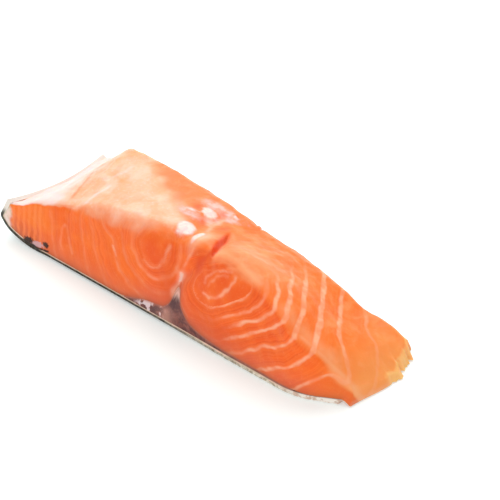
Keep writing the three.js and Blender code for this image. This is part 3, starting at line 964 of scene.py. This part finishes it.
def add_membrane(nodes, colour):
    """Pale moist membrane over the upper face, uneven at its border, with painted highlights on it and
    beside it.
    """
    patchy = nodes.uneven(0.22, 9, 3, 0.5, 0.5)
    pale = nodes.step(0, 0.95, nodes.plus("pale", patchy))
    pale = nodes.times(pale, nodes.step(0, 0.5, "pale"))
    white = nodes.step(0.15, 0.9, nodes.plus("white", nodes.times(patchy, 0.8)))
    veins = nodes.step(0.35, 0.7, nodes.noise(9, 3, 0.5, 0.8))
    grain = nodes.noise(1.2, 4, 0.6)
    membrane = nodes.tinted(
        nodes.mix(veins, (244, 172, 132), (246, 196, 168)),
        (nodes.step(0.5, 0.72, grain), 0.3, (246, 216, 198)),
        (nodes.step(0.48, 0.3, grain), 0.15, (238, 150, 104)),
    )
    return nodes.tinted(
        colour,
        (pale, 0.95, membrane),
        # Painted highlight on the pale membrane at the dorsal end and along its streaks.
        (white, 0.85, (242, 216, 212)),
        # Painted peach highlights along the upper edges and on the flap.
        ("peach_highlight", 0.75, (251, 180, 134)),
        ("lump", 0.7, (248, 150, 84)),
        ("slit", 0.75, (226, 128, 78)),
    )


def fat_line(nodes, ring, density_field, fade):
    """1 on one muscle's fat lines, fading over this many millimetres beside them."""
    nearest = nodes.math("ABSOLUTE", nodes.minus(ring, nodes.math("ROUND", ring)))
    distance = nodes.minus(nodes.math("DIVIDE", nearest, density_field), "width")
    return nodes.step(fade, 0, distance)


def add_fat_lines(nodes, colour, belly_ring, dorsal_ring):
    """Fat lines: a soft halo and a brighter, broken core. Returns the core too."""
    def lines(dorsal_fade, belly_fade):
        dorsal_line = fat_line(nodes, dorsal_ring, "density_dorsal", dorsal_fade)
        belly_line = fat_line(nodes, belly_ring, "density_belly", belly_fade)
        return nodes.mix("belly", dorsal_line, belly_line)

    broken = nodes.between(0.45, 1, nodes.step(0.36, 0.62, nodes.noise(4, 2, 0.5)))
    inside = nodes.between(0.85, 1.15, nodes.noise(1.2, 2, 0.6))
    core = nodes.times(lines(1.3, 0.9), "strength")
    core = nodes.math("MULTIPLY", core, nodes.times(broken, inside), clamp=True)
    core = nodes.greater(core, nodes.times("drawn_line", broken))
    halo = nodes.times(lines(2.6, 2.2), nodes.times("strength", 0.4))
    return nodes.tinted(colour, (halo, 1, (252, 128, 58)), (core, 0.85, (255, 184, 148))), core


def add_end(nodes, colour):
    """Painted shade in the gape and below it, the gape's lip, the belly end with its fringe and its painted
    glow, and painted shade on the flesh.
    """
    fringe = nodes.times("frayed_glow", nodes.plus(nodes.noise(1.8, 3, 0.6), 0.5))
    return nodes.tinted(
        colour,
        # Painted shade in the gape.
        ("painted_gape_shade", 0.85, (224, 72, 18)),
        # Painted shade along the fold below the gape.
        ("fold_shade", 1, (224, 78, 24)),
        ("lip", 0.6, (250, 178, 136)),
        ("margin", 0.6, (248, 168, 132)),
        # Torn fringe: painted golden glow of light shining through it.
        (nodes.step(0.3, 0.9, fringe), 0.6, (255, 200, 128)),
        ("shade", 0.6, (214, 74, 20)),
    )


def add_tip(nodes, colour):
    """Stripes with painted shade in their gaps low on the tip, brownish flesh by the dorsal tip, fatty
    tissue at its end, stains.
    """
    phase = nodes.plus("stripe", nodes.times(nodes.noise(5, 3), 5))
    stripe = nodes.step(-0.9, 1, nodes.math("SINE", phase))
    # Painted shade: stripe gaps darker towards the bottom of the tip.
    gap = nodes.times(nodes.minus(1, stripe), nodes.times("striped", "tip_low_shade"))
    tissue = nodes.mix(nodes.step(0.3, 0.6, nodes.noise(2.6, 3)), (214, 186, 150), (244, 206, 196))
    near_stains = nodes.step(0.05, 0.3, nodes.greater("stain", "lilac"))
    ragged = nodes.times(nodes.uneven(1.5, 1.1, 4, 0.7), near_stains)
    return nodes.tinted(
        colour,
        (nodes.times(stripe, "striped"), 0.3, (255, 150, 76)),
        # Painted shade in the stripe gaps low on the tip.
        (gap, 0.38, (196, 84, 40)),
        ("brown", 0.7, (170, 80, 56)),
        ("tip_fat", 1, tissue),
        (nodes.step(0.4, 0.6, nodes.plus("lilac", ragged)), 0.8, (204, 168, 174)),
        (nodes.step(0.3, 0.65, nodes.plus("stain", ragged)), 0.95, (36, 16, 12)),
    )


def add_fat(nodes, colour):
    """White fat pockets and veins in a pinkish veil."""
    veiled = nodes.greater(nodes.times("fat", 0.5), "rosy")
    ragged = nodes.plus(nodes.uneven(1.1, 3.6, 2, 0.5, 0.6), nodes.uneven(0.5, 1.1, 3, 0.65))
    ragged = nodes.times(ragged, nodes.step(0.02, 0.25, veiled))
    web = nodes.step(0.62, 0.4, nodes.cells(3, feature="DISTANCE_TO_EDGE"))
    web = nodes.times(web, nodes.step(0.35, 0.65, nodes.noise(2.6, 3)))
    solid = nodes.step(0.3, 0.6, nodes.plus("fat", nodes.times(ragged, 0.3)))
    creamy = nodes.mix(nodes.step(0.4, 0.6, nodes.noise(1.6, 3)), (238, 208, 202), (246, 224, 214))
    return nodes.tinted(
        colour,
        (nodes.step(0.1, 0.55, nodes.plus(veiled, ragged)), 0.65, (240, 166, 150)),
        (nodes.times(web, nodes.step(0.2, 0.6, "rosy")), 0.7, (242, 202, 196)),
        ("chink", 0.8, (232, 84, 26)),
        ("soft_fat", 1, (248, 186, 156)),
        (solid, 0.92, creamy),
    )


def flesh_material():
    """Moist orange flesh with its membrane, fat lines and fat pockets."""
    nodes = Nodes("flesh")
    wobble = nodes.uneven(2, 4.5, 1.5, 0.4)
    belly_ring = nodes.plus("ring_belly", nodes.times(wobble, "density_belly"))
    dorsal_ring = nodes.plus("ring_dorsal", nodes.times(wobble, "density_dorsal"))
    colour = muscle_colour(nodes, nodes.mix("belly", dorsal_ring, belly_ring))
    colour = add_membrane(nodes, colour)
    colour, core = add_fat_lines(nodes, colour, belly_ring, dorsal_ring)
    colour = add_end(nodes, colour)
    colour = add_tip(nodes, colour)
    colour = add_fat(nodes, colour)

    fibre = nodes.noise(0.5, 3, 0.6, 0.2, (1, 0.3, 0.6))
    fine = nodes.plus(nodes.times(fibre, 0.5), nodes.times(nodes.noise(0.8, 4, 0.6), 0.5))
    swell = nodes.minus(nodes.noise(5, 3), nodes.times(core, 0.3))
    return nodes.finish(
        Base_Color=colour, Roughness=nodes.between(0.28, 0.53, nodes.noise(3, 3)),
        Normal=nodes.bump(swell, 0.3, nodes.bump(fine, 0.09)), IOR=1.36, Specular_IOR_Level=0.27,
        Subsurface_Weight=0.5, Subsurface_Radius=(1, 0.4, 0.2), Subsurface_Scale=2.5 * MM,
        Coat_Weight=0.06, Coat_Roughness=0.15, Coat_IOR=1.34,
    )


def dark_material():
    """Brownish-purple muscle, streaked, with light and dark flecks beside its wedge."""
    nodes = Nodes("dark_muscle")
    streaks = nodes.noise(1.5, 4, 0.6, 0.8, (1, 0.35, 1))
    mottle = nodes.noise(2.9, 2.5, 0.6, 0.7)
    colour = nodes.tinted(
        nodes.mix(nodes.step(0.35, 0.65, streaks), (84, 36, 32), (122, 58, 48)),
        ("wedge", 0.85, (80, 34, 38)),
        (nodes.step(0.45, 0.72, nodes.noise(3.2, 4, 0.6, 0.8)), 0.35, (180, 108, 92)),
        ("rosy", 0.65, (206, 144, 126)),
        (nodes.times("flecked", nodes.step(0.48, 0.4, mottle)), 0.7, (88, 48, 50)),
        (nodes.times("flecked", nodes.step(0.49, 0.57, mottle)), 0.85, (236, 212, 214)),
        ("tip", 0.85, (246, 190, 172)),
        ("edge", 0.7, (196, 104, 78)),
    )
    return nodes.finish(
        Base_Color=colour, Roughness=0.32, Normal=nodes.bump(streaks, 0.25), IOR=1.38,
        Subsurface_Weight=0.3, Subsurface_Radius=(1, 0.3, 0.25), Subsurface_Scale=1.2 * MM,
        Coat_Weight=0.2, Coat_Roughness=0.15,
    )


def skin_material():
    """Scaly skin, dark at the dorsal edge, silver at the belly, fatty inside."""
    nodes = Nodes("skin")
    speckle = nodes.noise(1.3, 4, 0.6)
    back_colour = nodes.mix(nodes.step(0.4, 0.6, speckle), (22, 14, 6), (52, 40, 22))
    belly_colour = nodes.mix(nodes.step(0.35, 0.6, speckle), (166, 150, 126), (230, 220, 204))
    dark_spots = nodes.times(nodes.step(0.28, 0.18, nodes.cells(9)), nodes.minus(1, "silver"))
    scales = nodes.cells(2.4, (0.8, 1, 1), randomness=0.35)
    fat = nodes.mix(nodes.step(0.35, 0.65, nodes.noise(2.2, 3)), (238, 200, 178), (206, 186, 158))
    scrap = nodes.mix(nodes.step(0.4, 0.55, nodes.noise(2.4, 3, 0.6)), (206, 170, 150), (244, 234, 224))
    stain = nodes.step(0.4, 0.6, nodes.plus("stain", nodes.uneven(0.7, 1.4, 3)))
    colour = nodes.tinted(
        nodes.mix("silver", back_colour, belly_colour),
        (dark_spots, 0.8, (16, 14, 12)),
        (nodes.step(0.35, 0.62, scales), 0.3, (120, 116, 104)),
        ("inner", 1, fat),
        ("rim", 0.9, (238, 226, 216)),
        ("scrap", 0.85, scrap),
        ("line", 0.85, (104, 54, 40)),
        (stain, 0.95, (34, 20, 14)),
    )
    return nodes.finish(
        Base_Color=colour, Roughness=0.45, Normal=nodes.bump(scales, 0.2), IOR=1.4, Specular_IOR_Level=0.25,
        Coat_Weight=0.08,
    )


# ---------------- pieces

def lattice(along, across, up, point_at):
    """Points and quads of a block, and the station along and up of each point."""
    i, j, k, quads = block(len(along), len(across), len(up))
    return point_at(along[i], across[j], up[k]), quads, along[i], up[k]


def make_piece(name, points, quads, material, **fields):
    """A mesh object with its material and the vertex fields that the material reads."""
    piece = mesh_object(name, points, quads)
    piece.data.materials.append(material)
    for field, values in fields.items():
        attribute = piece.data.attributes.new(field, "FLOAT", "POINT")
        attribute.data.foreach_set("value", np.asarray(values, np.float32))
    return piece


def make_skin(points, quads, inwards):
    """The skin; inwards is 0 on its outer side and 1 on its inner side."""
    x, y, z = points.T
    fat_start = 0.7 - 0.14 * ramp(60, 112, x)
    return make_piece(
        "fillet_skin", points, quads, skin_material(),
        inner=ramp(0, 0.1, inwards + 0.05 * waves(x, y, z, 6, seed=21) - fat_start),
        silver=ramp(60, 125, x + 6 * waves(x, y, z, 14, seed=22)),
        stain=blood_stains(x, z) * (y < 12),
        rim=ramp(8.5, 11.5, z),
        scrap=ramp(124, 136, x) * (y < 24),
        line=ramp(0.78, 1, inwards) * ramp(96, 112, x),
    )


def make_dark_muscle():
    """The dark muscle, with closer stations at its wedge."""
    along = stations(DARK_START, DARK_END, lambda x: 0.8 - 0.4 * bump(82, 6, x))
    points, quads, station, _ = lattice(along, eased(60), np.linspace(0, 1, 9), dark_point)
    x, y, z = points.T
    from_top = FLESH_FLOOR + dark_muscle(station) - z
    return make_piece(
        "fillet_dark_muscle", points, quads, dark_material(),
        flecked=ramp(62, 66, x) * (1 - ramp(75, 78, x)),
        wedge=bump(81, 4.5, x) * ramp(5, 8, z),
        rosy=bump(77, 3.6, x) * (1 - ramp(5, 8, z)),
        tip=ramp(11.2, 12.8, z),
        edge=1 - ramp(0.1, 0.9, from_top),
    )


def upper_share(x, y, facing_up):
    """1 on the upper face, 0 on the cuts; a drawn line parts them at the thin belly end."""
    by_end = ramp(132, 138, x) * (1 - ramp(38, 41, y))
    return ramp(0.35, 0.85, facing_up) * (1 - by_end) + ramp(-0.5, 0.4, y - belly_arris(x)) * by_end


def roughened(points, quads, rise):
    """Flesh points moved along their normals: soft unevenness, and a groove along fat lines."""
    normals = normals_of(points, quads)
    x, y, z = points.T
    rings = np.where(x > muscle_border_cut(z), belly_rings(x, y, z), dorsal_rings(x, y, z))
    layers = 0.06 * np.cos(2 * math.pi * rings) * (1 - ramp(0.35, 0.85, normals[:, 2]))
    uneven = 0.22 * waves(x, y, z, 12, seed=1) + 0.08 * waves(x, y, z, 4, seed=2) - layers
    return points + normals * (uneven * ramp(0.5, 3, rise))[:, None]


def make_flesh():
    """The flesh, with closer stations at the crease and the gape."""
    along = stations(TIP_X, BELLY_X, lambda x: 0.5 - 0.2 * bump(84, 7, x))
    points, quads, station, _ = lattice(along, eased(70), np.linspace(0, 1, 54), flesh_point)
    rise = points[:, 2] - underside(station) - dark_muscle(station)
    points = roughened(points, quads, rise)
    normals = normals_of(points, quads)
    x, y, z = points.T
    facing_up = normals[:, 2]
    top = upper_share(x, y, facing_up)
    border_x = np.where(top > 0.5, muscle_border_top(y), muscle_border_cut(z))
    belly = ramp(-0.6, 0.6, x - border_x)
    strength = belly * belly_strength(x, y, z, top) + (1 - belly) * dorsal_strength(x, y, z, top)
    return make_piece(
        "fillet_flesh", points, quads, flesh_material(),
        top=top,
        belly=belly,
        strength=np.clip(strength, 0, 1),
        width=line_width(x, y, z, top, belly),
        ring_belly=belly_rings(x, y, z),
        ring_dorsal=dorsal_rings(x, y, z),
        density_belly=density(belly_rings, points, normals),
        density_dorsal=density(dorsal_rings, points, normals),
        **membrane_fields(x, y, top, facing_up),
        **fat_fields(x, y, z, facing_up),
        **gape_fields(x, y, z),
        **cut_fields(x, y, z, rise, 1 - top),
        **tip_fields(x, y, z, 1 - top),
        **end_fields(x, y, z, top, BELLY_X - station),
    )


# The skin is worked out first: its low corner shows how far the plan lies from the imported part.
ribs = skin_ribs(stations(TIP_X, SKIN_END_X, lambda x: 0.9))
skin_points, skin_quads, _, skin_inwards = lattice(ribs, eased(60), np.linspace(0, 1, 7), skin_point)
skin_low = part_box("skin")[0]
PLAN_SHIFT = np.array([
    skin_low[0] / MM - skin_points[:, 0].min(),
    skin_low[1] / MM - skin_points[:, 1].min(),
    0,
])

flesh = make_flesh()
dark = make_dark_muscle()
skin = make_skin(skin_points, skin_quads, skin_inwards)
for piece, node in ((flesh, "flesh"), (dark, "dark_muscle"), (skin, "skin")):
    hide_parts(node)
    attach(piece, "root")


# ---------------- floor, lights, camera

FLOOR_SIZE = 6
FLOOR_Z = -0.0001
WORLD_STRENGTH = 0.68
CAMERA_TARGET = (70.79, 51.49, 0)  # on the table, in plan millimetres
CAMERA_DISTANCE = 0.43
CAMERA_AZIMUTH = math.radians(40.8)
CAMERA_ELEVATION = math.radians(35)
CAMERA_LENS = 85
CAMERA_CLIP_START = 0.01


def aim_along(direction):
    """Rotation that points an object's -Z along direction."""
    return Vector(direction).to_track_quat("-Z", "Y").to_euler()


def make_floor():
    """White ground that glows a little."""
    bpy.ops.mesh.primitive_plane_add(size=FLOOR_SIZE, location=(0, 0, FLOOR_Z))
    floor = bpy.context.object
    floor.name = "floor"
    floor.data.materials.append(Nodes("floor").finish(
        Base_Color=(0.76, 0.84, 0.82, 1), Roughness=0.55, Specular_IOR_Level=0.2,
        Emission_Color=(1, 0.98, 0.98, 1), Emission_Strength=0.28,
    ))


def make_light(name, place_at, size, power):
    """A round area light that aims at the origin."""
    light = bpy.data.lights.new(name, "AREA")
    light.shape = "DISK"
    light.size = size
    light.energy = power
    lamp = bpy.data.objects.new(name, light)
    bpy.context.scene.collection.objects.link(lamp)
    lamp.location = place_at
    lamp.rotation_euler = aim_along([-at for at in place_at])


def make_world():
    """Even white light from all round."""
    world = bpy.data.worlds.new("studio")
    world.use_nodes = True
    background = world.node_tree.nodes["Background"]
    background.inputs["Color"].default_value = (1, 1, 1, 1)
    background.inputs["Strength"].default_value = WORLD_STRENGTH
    bpy.context.scene.world = world


def make_camera():
    """The camera, CAMERA_DISTANCE metres from its target."""
    camera = bpy.data.objects.new("camera", bpy.data.cameras.new("camera"))
    bpy.context.scene.collection.objects.link(camera)
    back = (
        math.sin(CAMERA_AZIMUTH) * math.cos(CAMERA_ELEVATION),
        -math.cos(CAMERA_AZIMUTH) * math.cos(CAMERA_ELEVATION),
        math.sin(CAMERA_ELEVATION),
    )
    camera.location = to_part(np.array(CAMERA_TARGET)) + CAMERA_DISTANCE * np.array(back)
    camera.rotation_euler = aim_along([-b for b in back])
    camera.data.lens = CAMERA_LENS
    camera.data.clip_start = CAMERA_CLIP_START
    bpy.context.scene.camera = camera


make_floor()
make_light("key", (-0.35, 0.45, 0.65), size=0.9, power=6.5)
make_light("fill", (0.25, -0.75, 0.45), size=1.2, power=2.2)
make_world()
bpy.context.scene.view_settings.view_transform = "Standard"
make_camera()
